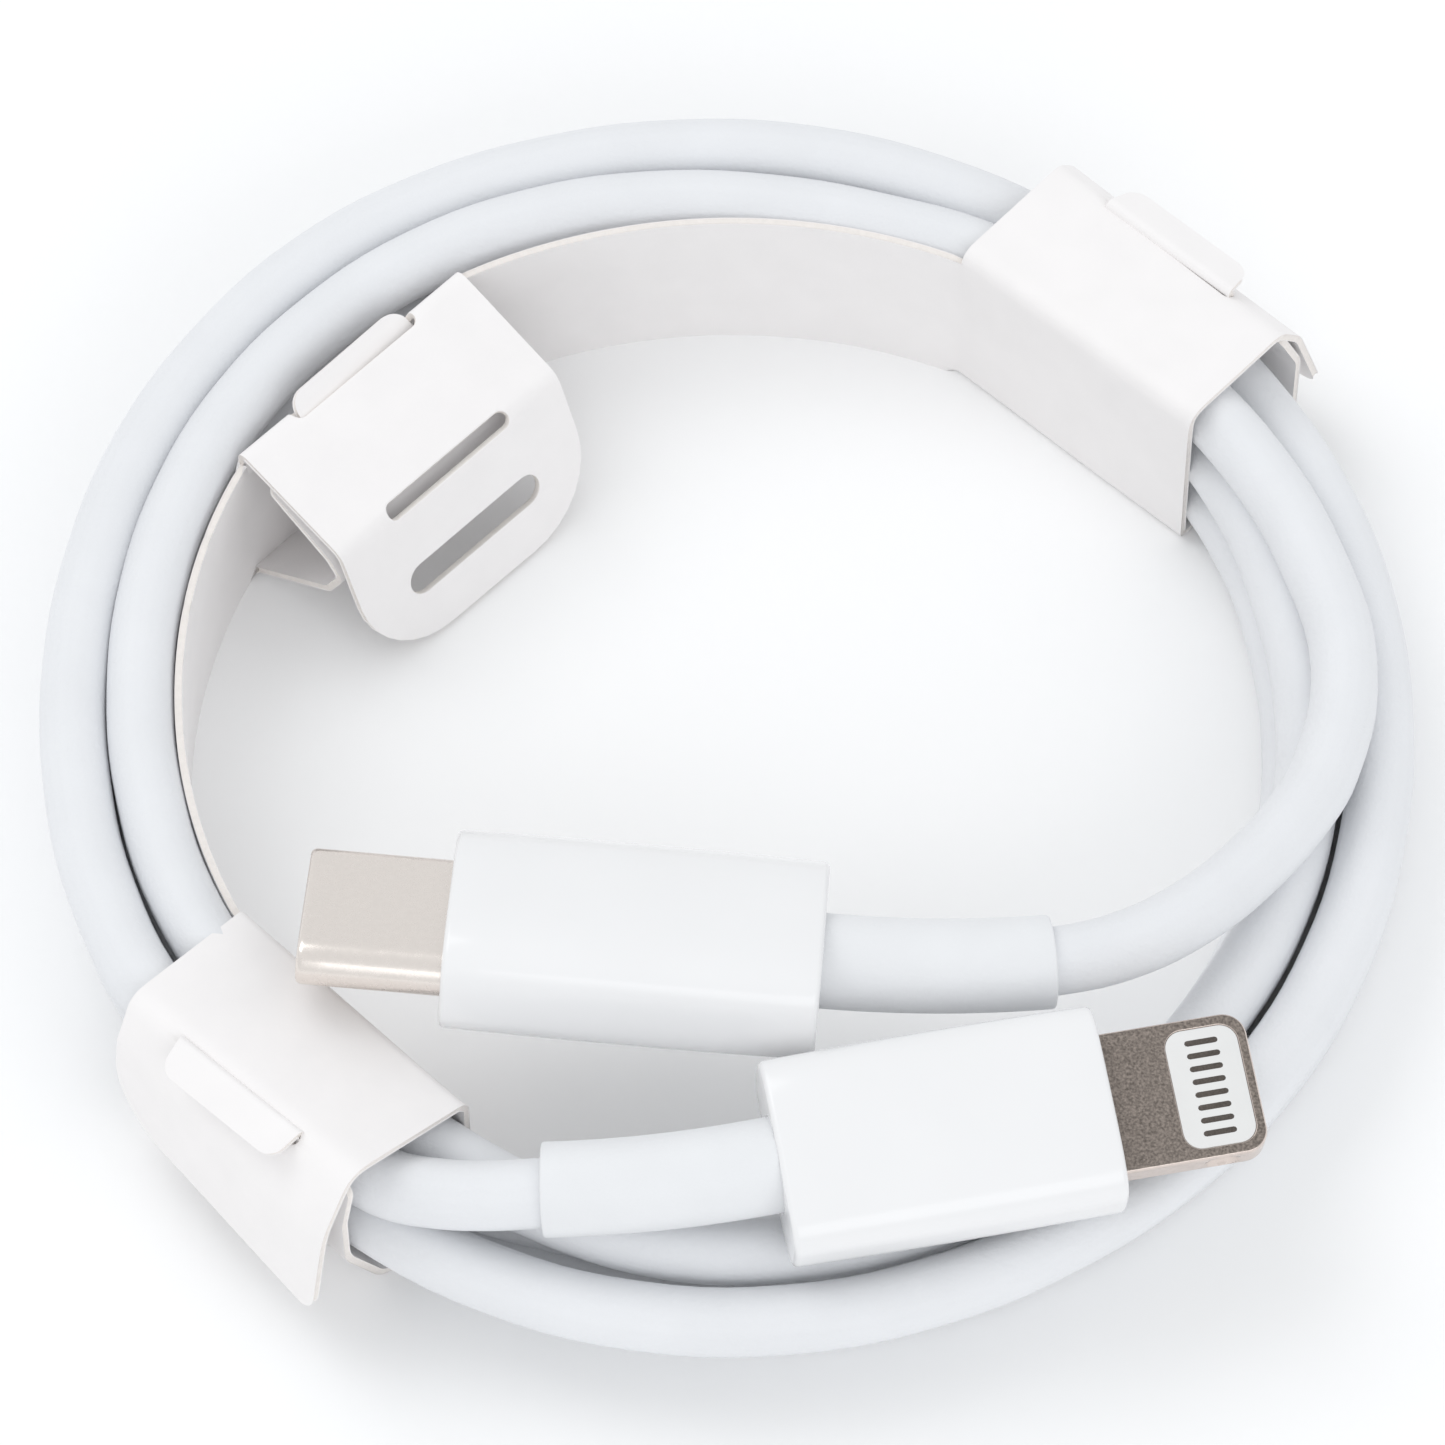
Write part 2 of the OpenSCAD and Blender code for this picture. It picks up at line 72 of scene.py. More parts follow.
# Each pass round the coil, by bearing in degrees: (bearing, radius, height)
PASSES = [
    [(-10, 28.4, 8.1), (0, 29.1, 8.0), (10, 28.8, 8.05), (22, 28.2, 8.2), (32, 27.8, 8.3),
     (47, 27.1, 8.3), (62, 27.5, 8.2), (77, 27.2, 8.25), (85, 27.35, 8.3), (93, 27.6, 8.3),
     (100, 27.8, 8.3), (108, 28.0, 8.35), (116, 28.15, 8.35), (125, 28.25, 8.35), (137, 28.15, 8.35),
     (150, 28.0, 8.35), (160, 27.8, 8.35), (171, 27.65, 8.35), (183, 27.6, 8.35), (198, 27.75, 8.25),
     (211, 27.95, 8.0), (227, 27.7, 7.7), (243, 28.0, 6.8), (257, 28.6, 5.8), (270, 29.0, 5.3),
     (300, 28.6, 5.2), (325, 28.0, 5.2), (345, 27.7, 5.2)],
    [(0, 27.5, 5.15), (20, 27.4, 5.15), (32, 27.8, 5.15), (47, 27.0, 5.15), (63, 27.5, 5.1),
     (90, 27.5, 5.1), (125, 27.9, 5.1), (150, 27.8, 5.1), (183, 27.6, 5.1), (211, 27.95, 4.9),
     (227, 27.4, 4.3), (243, 28.0, 3.0), (260, 27.4, 2.1), (280, 27.1, 1.7), (325, 27.0, 1.7)],
    [(0, 27.1, 1.7), (20, 27.4, 1.8), (32, 27.8, 1.95), (47, 27.0, 1.95), (63, 27.5, 1.9),
     (90, 28.6, 1.7), (130, 30.0, 1.65), (170, 30.4, 1.65), (205, 29.9, 1.85), (227, 29.3, 1.97),
     (250, 29.7, 1.8), (270, 30.3, 1.65), (300, 30.6, 1.65), (325, 30.8, 1.65), (345, 30.9, 1.65)],
    [(0, 31.0, 1.7), (25, 31.0, 2.0), (47, 31.0, 2.6), (90, 30.8, 4.2), (130, 31.0, 4.8),
     (160, 30.6, 4.8), (183, 30.5, 4.9), (208, 30.9, 5.0), (227, 31.1, 5.15), (250, 32.1, 5.0),
     (270, 32.5, 4.95), (300, 32.1, 4.95), (325, 31.5, 5.0), (345, 31.1, 5.15)],
    [(0, 30.9, 5.2), (20, 31.0, 5.4), (47, 30.6, 6.8), (63, 30.5, 7.6), (81, 30.7, 8.0),
     (90, 30.85, 8.0), (107, 31.15, 7.9), (116, 31.3, 7.9), (126, 31.45, 7.9), (137, 31.25, 7.9),
     (152, 31.0, 7.85), (163, 30.75, 7.85), (173, 30.7, 7.85), (183, 30.75, 7.9), (193, 30.95, 8.0),
     (203, 31.25, 8.1), (210, 31.5, 8.15), (227, 31.2, 8.25), (238, 31.2, 8.25)],
]
# Free ends, from inside each plug to the coil
CHARGER_END = [
    (4.5, -16.6, 10.3), (7.7, -16.8, 10.2), (11.4, -16.8, 10.0), (15.1, -16.4, 9.9),
    (18.1, -15.4, 9.5), (21.3, -13.4, 9.0), (24.4, -10.4, 8.5), (26.6, -7.5, 8.2),
]
PHONE_END = [
    (-15.2, -27.2, 8.2), (-13.2, -27.8, 8.5), (-11.0, -28.2, 9.0), (-8.6, -28.3, 9.4),
    (-5.1, -28.1, 9.7), (-1.6, -27.7, 9.9), (1.8, -27.2, 10.0),
]


def smooth_value(table, at):
    """Value of a smooth curve through (place, value) pairs."""
    i = max(k for k in range(len(table) - 1) if table[k][0] <= at or k == 0)
    (x0, y0), (x1, y1) = table[i], table[i + 1]
    before, after = table[max(i - 1, 0)], table[min(i + 2, len(table) - 1)]
    slope0 = (y1 - before[1]) / (x1 - before[0])
    slope1 = (after[1] - y0) / (after[0] - x0)
    w = x1 - x0
    t = (at - x0) / w
    return ((2 * t ** 3 - 3 * t ** 2 + 1) * y0 + (t ** 3 - 2 * t ** 2 + t) * w * slope0
            + (3 * t ** 2 - 2 * t ** 3) * y1 + (t ** 3 - t ** 2) * w * slope1)


def cable_route():
    """Centreline of the cable from the charger plug to the phone plug, in millimetres."""
    stops = [(360 * k + b, r, z) for k, one in enumerate(PASSES) for b, r, z in one]
    radius = [(a, r) for a, r, z in stops]
    height = [(a, z) for a, r, z in stops]
    route = list(CHARGER_END)
    first, last = stops[0][0], stops[-1][0]
    stretches = round((last - first) / ROUTE_STEP)
    for i in range(stretches + 1):
        a = first + (last - first) * i / stretches
        r = smooth_value(radius, a)
        route.append((r * cos(radians(a)), r * sin(radians(a)), smooth_value(height, a)))
    return route + PHONE_END


def curve_piece(name, points, diameter):
    data = bpy.data.curves.new(name, "CURVE")
    data.dimensions = "3D"
    data.bevel_depth = diameter / 2 * MM
    data.bevel_resolution = 6
    data.resolution_u = 5
    data.use_fill_caps = True
    spline = data.splines.new("BEZIER")
    spline.bezier_points.add(len(points) - 1)
    for spot, p in zip(spline.bezier_points, points):
        spot.co = Vector(p) * MM
        spot.handle_left_type = spot.handle_right_type = "AUTO"
    piece = bpy.data.objects.new(name, data)
    scene.collection.objects.link(piece)
    return piece


# ---- placing the plugs ----
def placement(tip, roll, pitch, yaw):
    turn = (Matrix.Rotation(radians(yaw), 4, "Z") @ Matrix.Rotation(radians(pitch), 4, "Y")
            @ Matrix.Rotation(radians(roll), 4, "X"))
    return Matrix.Translation(tip) @ turn


CHARGER_TIP, PHONE_TIP = (-19.4, -14.8, 11.3), (24.0, -22.95, 10.0)
CHARGER = placement(CHARGER_TIP, -18, 2.4, -4.4)
PHONE = placement(PHONE_TIP, -12, 0, 190.9)
SHELL_W, SHELL_H, SHELL_OUT = 8.25, 2.4, 6.65
CHARGER_BOOT = (17.2, 10.3, 6.0)
TAB_W, TAB_H, TAB_OUT = 6.7, 1.5, 6.85
WINDOW_X = 2.15                         # middle of the tab's window, from the tip
PHONE_BOOT = (15.4, 9.5, 5.0)
CHARGER_REAR = SHELL_OUT + CHARGER_BOOT[0]
PHONE_REAR = TAB_OUT + PHONE_BOOT[0]


# ---- making meshes ----
def mesh_piece(name, vertices, faces, angle=35):
    """Vertices in millimetres in the row frame."""
    mesh = bpy.data.meshes.new(name)
    mesh.from_pydata([tuple(Vector(v) * MM) for v in vertices], [], faces)
    b = bmesh.new()
    b.from_mesh(mesh)
    bmesh.ops.recalc_face_normals(b, faces=b.faces)
    b.to_mesh(mesh)
    b.free()
    mesh.shade_smooth()
    mesh.set_sharp_from_angle(angle=radians(angle))
    piece = bpy.data.objects.new(name, mesh)
    scene.collection.objects.link(piece)
    return piece


def loft(rings, close_start=True, close_end=True):
    """Vertices and faces of a closed skin through rings of equally many points."""
    n = len(rings[0])
    vertices = [p for one in rings for p in one]
    faces = []
    for i in range(len(rings) - 1):
        for k in range(n):
            k2 = (k + 1) % n
            faces.append((i * n + k, i * n + k2, (i + 1) * n + k2, (i + 1) * n + k))
    if close_start:
        faces.append(tuple(range(n - 1, -1, -1)))
    if close_end:
        faces.append(tuple(range((len(rings) - 1) * n, len(rings) * n)))
    return vertices, faces


def merged(parts):
    vertices, faces = [], []
    for v, f in parts:
        shift = len(vertices)
        vertices += v
        faces += [tuple(i + shift for i in one) for one in f]
    return vertices, faces


def at_x(matrix, x, outline):
    return [matrix @ Vector((x, y, z)) for y, z in outline]


def superellipse(w, h, power, n=128):
    points = []
    for k in range(n):
        c, s = cos(2 * pi * k / n), sin(2 * pi * k / n)
        points.append((w / 2 * abs(c) ** (2 / power) * (1 if c >= 0 else -1),
                       h / 2 * abs(s) ** (2 / power) * (1 if s >= 0 else -1)))
    return points


def rounded_outline(w, h, r, n=128):
    """Rectangle with round corners, n points spread evenly along it from the middle of its +Y side."""
    straight_y, straight_z = h - 2 * r, w - 2 * r
    arc = pi * r / 2
    total = 2 * (straight_y + straight_z) + 4 * arc
    points = []
    for k in range(n):
        s = k * total / n + straight_y / 2
        for quarter in range(4):
            flat = straight_y if quarter % 2 == 0 else straight_z
            if s < flat:
                part, along = "flat", s
                break
            s -= flat
            if s < arc:
                part, along = "arc", s
                break
            s -= arc
        else:
            quarter, part, along = 0, "flat", s
        half = (w / 2, h / 2) if quarter % 2 == 0 else (h / 2, w / 2)
        if part == "flat":
            p = (half[0], -half[1] + r + along)
        else:
            a = along / r
            p = (half[0] - r + r * cos(a), half[1] - r + r * sin(a))
        for _ in range(quarter):
            p = (-p[1], p[0])
        points.append(p)
    return points


def inset(outline, d):
    """Outline moved inward by d along its own normals."""
    n = len(outline)
    out = []
    for k in range(n):
        (x0, y0), (x1, y1) = outline[k - 1], outline[(k + 1) % n]
        length = hypot(x1 - x0, y1 - y0)
        out.append((outline[k][0] - d * (y1 - y0) / length, outline[k][1] + d * (x1 - x0) / length))
    return out


def seen_from(centre, outline, shape):
    """Points of the convex closed line shape that lie in the same directions as those of outline."""
    out = []
    for x, y in outline:
        dx, dy = x - centre[0], y - centre[1]
        best = None
        for (ax, ay), (bx, by) in zip(shape, shape[1:] + shape[:1]):
            ax, ay, bx, by = ax - centre[0], ay - centre[1], bx - centre[0], by - centre[1]
            ex, ey = bx - ax, by - ay
            det = dx * -ey + ex * dy
            if abs(det) < 1e-12:
                continue
            t = (ax * -ey + ex * ay) / det
            s = (dx * ay - dy * ax) / det
            if t > 0 and -1e-6 <= s <= 1 + 1e-6:
                best = (centre[0] + t * dx, centre[1] + t * dy)
                break
        out.append(best or out[-1])
    return out


def boot(name, matrix, x0, size, power, front_hole, rear_d):
    """Moulded boot with crowned sides, a hole for the metal in front and one for the strain relief behind."""
    length, w, h = size
    x1 = x0 + length
    bevel = 0.28
    front = seen_from((0, 0), superellipse(w, h, power), front_hole)
    rear = seen_from((0, 0), superellipse(w, h, power), superellipse(rear_d, rear_d, 2, 96))
    rings = [at_x(matrix, x0 + 1.4, front), at_x(matrix, x0 + 0.08, front),
             at_x(matrix, x0, inset(front, -0.08))]

    def body(x, d):
        swell = 0.07 * (1 - ((x - (x0 + x1) / 2) / (length / 2)) ** 2)
        less = 2 * d + 0.14 - 2 * swell
        return at_x(matrix, x, superellipse(w - less, h - less, power))

    rings += [body(x0 + bevel * (1 - cos(radians(22.5 * k))), bevel * (1 - sin(radians(22.5 * k))))
              for k in range(5)]
    rings += [body(x0 + bevel + (length - 2 * bevel) * k / 10, 0) for k in range(1, 10)]
    rings += [body(x1 - bevel * (1 - cos(radians(90 - 22.5 * k))), bevel * (1 - sin(radians(90 - 22.5 * k))))
              for k in range(5)]
    rings += [at_x(matrix, x1, inset(rear, -0.1)), at_x(matrix, x1 - 0.1, rear),
              at_x(matrix, x1 - 1.4, rear)]
    return mesh_piece(name, *loft(rings))


def relief(name, matrix, rear, side, droop=0):
    """Strain relief: a bent sleeve that the cable comes out of, with rounded lips."""
    bend_r, bend = 55, radians(11)
    here = matrix @ Matrix.Translation((rear, 0, 0)) @ Matrix.Rotation(radians(droop), 4, "Y")

    def ring(along, r):
        a = along / bend_r
        centre = Vector((bend_r * sin(a), side * bend_r * (1 - cos(a)), 0))
        across = Vector((-sin(a), side * cos(a), 0))
        up = Vector((0, 0, 1))
        return [here @ (centre + r * (cos(2 * pi * k / 64) * across + sin(2 * pi * k / 64) * up))
                for k in range(64)]

    total = bend_r * bend
    out, bore, lip = RELIEF_D / 2, CABLE_D / 2 + 0.035, 0.13
    rings = [ring(-0.9, out)] + [ring(total * k / 12, out - 0.03 * k / 12) for k in range(12)]
    end = out - 0.03
    rings += [ring(total - lip * (1 - sin(radians(a))), end - lip * (1 - cos(radians(a))))
              for a in (0, 30, 60, 90)]
    rings += [ring(total, bore + 0.06), ring(total - 0.02, bore + 0.02)]
    rings += [ring(total - 0.06, bore), ring(total - 2, bore)]
    return mesh_piece(name, *loft(rings))


def shell(name):
    """Oval metal tube with a rolled lip."""
    outline = rounded_outline(SHELL_W, SHELL_H, SHELL_H / 2 - 0.001, 160)
    lip, wall = 0.3, 0.28
    rings = [at_x(CHARGER, SHELL_OUT + 1.6, outline), at_x(CHARGER, SHELL_OUT - 0.1, outline)]
    rings += [at_x(CHARGER, SHELL_OUT - 0.1 - (SHELL_OUT - 0.1 - lip) * k / 6, outline) for k in range(1, 7)]
    rings += [at_x(CHARGER, lip * (1 - sin(radians(a))), inset(outline, lip * 0.75 * (1 - cos(radians(a)))))
              for a in (20, 40, 60, 80, 90)]
    rings += [at_x(CHARGER, 0.02, inset(outline, wall)), at_x(CHARGER, 0.12, inset(outline, wall + 0.04)),
              at_x(CHARGER, 5, inset(outline, wall + 0.04))]
    return mesh_piece(name, *loft(rings))


def tab_outline(n=240):
    """Plan outline of the flat tab: round corners at the tip, and inside the boot."""
    r, far, half, back = 1.1, 8.2, TAB_W / 2, 1
    line = [(far - back + cos(radians(a)), half - back + sin(radians(a))) for a in range(0, 91, 10)]
    line += [(r, half)]
    line += [(r - r * sin(radians(a)), half - r + r * cos(radians(a))) for a in range(5, 90, 5)]
    line += [(0, half - r), (0, -half + r)]
    line += [(r - r * cos(radians(a)), -half + r - r * sin(radians(a))) for a in range(5, 90, 5)]
    line += [(r, -half)]
    line += [(far - back + cos(radians(a)), back - half + sin(radians(a))) for a in range(-90, 1, 10)]
    closed = line + line[:1]
    total = sum(hypot(b[0] - a[0], b[1] - a[1]) for a, b in zip(closed, closed[1:]))
    points, i, done = [], 0, 0
    for k in range(n):
        s = total * k / n
        while True:
            a, b = closed[i], closed[i + 1]
            length = hypot(b[0] - a[0], b[1] - a[1])
            if done + length >= s - 1e-9:
                break
            done += length
            i += 1
        t = (s - done) / length
        points.append((a[0] + (b[0] - a[0]) * t, a[1] + (b[1] - a[1]) * t))
    return points


def window_outline(grow=0.0):
    """Outline of the tab's window, larger by grow all round."""
    w, h = 3.4, 5.7
    return [(WINDOW_X + x, y) for x, y in rounded_outline(w + 2 * grow, h + 2 * grow, 0.85 + grow, 96)]


def tab_metal(name):
    """Flat tab with bevelled edges, a window for the insert and a latch dimple in each edge."""
    outline = tab_outline()
    hole = seen_from((WINDOW_X, 0), outline, window_outline())
    half, bevel = TAB_H / 2, 0.16

    def level(points, z, dimple=False):
        ring = []
        for x, y in points:
            if dimple:
                depth = 1 - ((x - 2.2) / 0.78) ** 2 - (z / 0.56) ** 2
                if abs(y) > TAB_W / 2 - 0.2 and depth > 0:
                    y -= (1 if y > 0 else -1) * 0.3 * depth ** 0.6
            ring.append(PHONE @ Vector((x, y, z)))
        return ring

    rings = [level(hole, half - 0.03), level(inset(hole, -0.03), half), level(inset(hole, -0.09), half),
             level(inset(outline, bevel + 0.06), half), level(inset(outline, bevel), half)]
    rings += [level(inset(outline, bevel * (1 - sin(radians(a)))), half - bevel * (1 - cos(radians(a))))
              for a in (30, 60, 90)]
    steps = 14
    rings += [level(outline, (half - bevel) * (1 - 2 * k / steps), True) for k in range(1, steps)]
    rings += [level(inset(outline, bevel * (1 - sin(radians(a)))), -half + bevel * (1 - cos(radians(a))))
              for a in (90, 60, 30)]
    rings += [level(inset(outline, bevel), -half), level(inset(outline, bevel + 0.06), -half),
              level(inset(hole, -0.09), -half), level(inset(hole, -0.03), -half), level(hole, -half + 0.03)]
    vertices, faces = loft(rings, False, False)
    n = len(outline)
    top, bottom = range(n), range((len(rings) - 1) * n, len(rings) * n)
    faces += [(top[k], top[(k + 1) % n], bottom[(k + 1) % n], bottom[k]) for k in range(n)]
    return mesh_piece(name, vertices, faces, 50)


def slab(outline, z0, z1, edge):
    """Vertices and faces of a flat plate with rounded rims, in the phone plug's own directions."""
    low, high = min(z0, z1), max(z0, z1)
    rings = [[(x, y, low) for x, y in inset(outline, edge)], [(x, y, low + edge) for x, y in outline],
             [(x, y, high - edge) for x, y in outline],
             [(x, y, high - edge * 0.3) for x, y in inset(outline, edge * 0.3)],
             [(x, y, high) for x, y in inset(outline, edge)]]
    return loft([[PHONE @ Vector(p) for p in one] for one in rings])


def insert(name):
    return mesh_piece(name, *slab(window_outline(-0.02), -TAB_H / 2, TAB_H / 2, 0.05))


def contacts(name):
    """Eight round-ended contacts on each face of the insert."""
    parts = []
    for side in (-1, 1):
        for i in range(8):
            pill = [(WINDOW_X + x, (i - 3.5) * 0.62 + y) for x, y in rounded_outline(1.55, 0.27, 0.134, 32)]
            parts.append(slab(pill, side * (TAB_H / 2 - 0.06), side * (TAB_H / 2 + 0.006), 0.004))
    return mesh_piece(name, *merged(parts))


# ---- card holder: one die-cut card, folded ----
CARD_T = 0.36
WIDTH = 14.4                            # of each station, along the strap
SPLIT_Z = 8.4                           # height at which a station's top folds start
FOOT_Z = 0.9                            # height at which a station's lower folds start
STRAP_FOOT = 0.05                       # height of the strap's bottom edge
NEAR_STATION = 0.6                      # how far past a station's edge the card may belong to it
RIM_REACH = 0.16                        # how far past a station's edge its rounded rim still folds with it
OVER_STRAP, UNDER_STRAP = 10.2, -0.2    # past these heights all card near a station folds with it
STATIONS = {
    # bearing and distance of the inner crease; folds above and below it as (distance, height, radius), where
    # "top" and "low" are for the station's right edge seen from the axis, and "top_left" and "low_left" for
    # its left edge
    "a": dict(bearing=137, d=24.7,
              top=[(24.7, SPLIT_Z, 0), (24.5, 10.3, 0.45), (18.1, 7.85, 1.1), (15.4, 0.25, 0)],
              top_left=[(24.7, SPLIT_Z, 0), (25.05, 9.85, 0.45), (18.45, 7.6, 1.1), (15.8, 0.25, 0)],
              low=[(24.7, FOOT_Z, 0), (24.7, 0.2, 0.4), (19.4, 3.9, 1.0), (18.5, 5.6, 0.6),
                   (19.2, 6.5, 0.9), (23.2, 8.6, 1.5), (24.8, 9.9, 0.7), (25.25, 10.2, 0)]),
    "b": dict(bearing=47.5, d=24.9,
              top=[(24.9, SPLIT_Z, 0), (24.95, 10.3, 1.2), (31.4, 10.2, 1.3), (32.9, 8.4, 2.5),
                   (34.9, 2.7, 0)],
              top_left=[(24.9, SPLIT_Z, 0), (24.9, 10.0, 0.8), (31.8, 10.05, 0.8), (33.1, 8.7, 3),
                        (34.0, 3.0, 0)],
              low=[(24.9, FOOT_Z, 0), (24.9, 0.18, 0.4), (32.6, 0.18, 1.2), (33.1, 2.6, 2), (33.1, 6.4, 2),
                   (31.75, 9.4, 0.8), (31.6, 10.52, 0.22), (33.3, 9.95, 0)]),
    "c": dict(bearing=227, d=25.2,
              top=[(25.2, SPLIT_Z, 0), (25.0, 9.1, 0.5), (32.0, 10.2, 0.9), (33.1, 7.6, 3), (33.6, 3.0, 0)],
              top_left=[(25.2, SPLIT_Z, 0), (25.5, 8.95, 0.8), (32.5, 11.7, 1.3), (34.4, 8.5, 5),
                        (35.4, 3.0, 0)],
              low=[(25.2, FOOT_Z, 0), (25.2, 0.18, 0.4), (31.2, 0.2, 2.0), (33.12, 4.6, 3),
                   (33.1, 7.8, 1.5), (32.3, 9.4, 0.5), (32.05, 10.35, 0.22), (33.8, 9.8, 0)],
              low_left=[(25.2, FOOT_Z, 0), (25.2, 0.18, 0.4), (30.8, 0.2, 2.0), (33.12, 4.9, 3),
                        (33.15, 8.0, 1.5), (32.6, 10.2, 0.5), (32.3, 11.75, 0.22), (34.0, 11.0, 0)]),
}


FILLET_STEPS = 6                        # even, so that a corner's middle is one of the line's points


def filleted(points):
    """Dense line through (x, y, radius) points with round corners: list of (x, y)."""
    out = [Vector(points[0][:2])]
    for i in range(1, len(points) - 1):
        p, r = Vector(points[i][:2]), points[i][2]
        u, v = (Vector(points[i - 1][:2]) - p), (Vector(points[i + 1][:2]) - p)
        bend = pi - u.angle(v)
        back = min(r * abs(sin(bend / 2) / cos(bend / 2)), 0.48 * u.length, 0.48 * v.length)
        a, c = p + u.normalized() * back, p + v.normalized() * back
        for k in range(FILLET_STEPS + 1):
            t = k / FILLET_STEPS
            out.append((1 - t) ** 2 * a + 2 * t * (1 - t) * p + t * t * c)
    out.append(Vector(points[-1][:2]))
    return out


class Line:
    """A line in a plane, read by its length along."""

    def __init__(self, points):
        self.points = points
        self.at = [0.0]
        for a, b in zip(points, points[1:]):
            self.at.append(self.at[-1] + (b - a).length)
        self.length = self.at[-1]

    def read(self, s):
        """Point and left-hand normal at length s."""
        i = 0
        while i < len(self.at) - 2 and self.at[i + 1] < s:
            i += 1
        a, b = self.points[i], self.points[i + 1]
        along = (b - a).normalized()
        p = a + along * (s - self.at[i])
        before = self.points[i] - self.points[i - 1] if i else b - a
        after = self.points[i + 2] - b if i + 2 < len(self.points) else b - a
        t = min(max((s - self.at[i]) / (b - a).length, 0), 1)
        left = (before.normalized() + along).normalized() * (1 - t)
        left += (along + after.normalized()).normalized() * t
        left.normalize()
        return p, Vector((-left.y, left.x))


def bearing_point(r, bearing):
    return Vector((r * cos(radians(bearing)), r * sin(radians(bearing))))


def strap_line():
    """Plan of the strap, clockwise from station C's far corner to B's, and each station's place on it."""
    points, places = [], {}
    order = ["c", "a", "b"]
    for k, key in enumerate(order):
        one = STATIONS[key]
        half, corner = degrees(atan(WIDTH / 2 / one["d"])), hypot(WIDTH / 2, one["d"])
        start, end = one["bearing"] + half, one["bearing"] - half
        points += [bearing_point(corner, start), bearing_point(corner, end)]
        places[key] = len(points) - 2
        if k < 2:
            other = STATIONS[order[k + 1]]
            half2, corner2 = degrees(atan(WIDTH / 2 / other["d"])), hypot(WIDTH / 2, other["d"])
            stop = other["bearing"] + half2
            for i in range(1, 40):
                t = i / 40
                ease = 0.18 * sin(pi * t)
                points.append(bearing_point(corner + (corner2 - corner) * t - ease, end + (stop - end) * t))
    line = Line(points)
    return line, {key: line.at[i] + WIDTH / 2 for key, i in places.items()}


PLAN, PLACE_U = strap_line()


def fold_place(line, x, y):
    """Length along a folded line at which it is nearest to (x, y)."""
    spot = min(range(len(line.points)), key=lambda i: (line.points[i] - Vector((x, y))).length)
    return line.at[spot]


def folds(one, which, side):
    """Folded line of a station at side, 0 at its right edge and 1 at its left, and lengths to its creases."""
    share = round(min(max(side, 0), 1), 3)
    if (which, share) not in one["known"]:
        left = one.get(which + "_left", one[which])
        points = [tuple(a + (b - a) * share for a, b in zip(p, q)) for p, q in zip(one[which], left)]
        line = Line(filleted(points))
        middles = [line.at[1 + k * (FILLET_STEPS + 1) + FILLET_STEPS // 2] for k in (0, 1)]
        one["known"][which, share] = line, [0] + middles + [line.length]
    return one["known"][which, share]


for key, one in STATIONS.items():
    one["known"] = {}
    one["top_line"], one["creases"] = folds(one, "top", 0.5)
    one["low_line"] = folds(one, "low", 0.5)[0]
    one["u"] = PLACE_U[key]
    one["v_in"], one["v_out"], one["v_end"] = (SPLIT_Z + s for s in one["creases"][1:])
    one["v_tongue"] = FOOT_Z - fold_place(one["low_line"], *one["low"][-3][:2])
    one["v_foot"] = FOOT_Z - one["low_line"].length


def on_card(u, v, w):
    """Where the point u along the strap, v up and w out of the flat card goes when the card is folded."""
    for one in STATIONS.values():
        t = u - one["u"]
        if abs(t) > WIDTH / 2 + NEAR_STATION or FOOT_Z <= v <= SPLIT_Z:
            continue
        if v > SPLIT_Z:
            if abs(t) > WIDTH / 2 + RIM_REACH and v < OVER_STRAP:
                continue
            line, creases = folds(one, "top", 0.5 - t / WIDTH)
            s, flat = v - SPLIT_Z, one["creases"]
            i = 0 if s < flat[1] else 1 if s < flat[2] else 2
            stretch = (creases[i + 1] - creases[i]) / (flat[i + 1] - flat[i])
            p, left = line.read(creases[i] + (s - flat[i]) * stretch)
            side = -w
        else:
            if abs(t) > WIDTH / 2 + RIM_REACH and v > UNDER_STRAP:
                continue
            line = folds(one, "low", 0.5 - t / WIDTH)[0]
            p, left = line.read((FOOT_Z - v) * line.length / one["low_line"].length)
            side = w
        p = p + left * side
        turn = Matrix.Rotation(radians(one["bearing"]), 3, "Z")
        return turn @ Vector((p.x, -t, p.y))
    p, left = PLAN.read(u)
    p = p + left * w
    return Vector((p.x, p.y, v))


def arc(cx, cy, r, a0, a1, n=8):
    return [(cx + r * cos(radians(a0 + (a1 - a0) * k / n)), cy + r * sin(radians(a0 + (a1 - a0) * k / n)))
            for k in range(n + 1)]


def pill(cx, cy, w, h):
    """Slot with round ends, w along u."""
    r = h / 2
    return arc(cx + w / 2 - r, cy, r, -90, 90, 10) + arc(cx - w / 2 + r, cy, r, 90, 270, 10)


def flap_outline(one, left, right, before=None, after=None):
    """Top flap of a station with its end tab, in rising u; before and after are the height of the strap's top
    edge beside it and the radius of the corner there."""
    u0, u1, top = one["u"] - WIDTH / 2, one["u"] + WIDTH / 2, one["v_end"]
    line = arc(u0 - before[1], before[0] + before[1], before[1], -90, 0) if before else [(u0, 8.0)]
    line += arc(u0 + left, top - left, left, 180, 90) + arc(u1 - right, top - right, right, 90, 0)
    return line + (arc(u1 + after[1], after[0] + after[1], after[1], 180, 270) if after else [(u1, 8.0)])


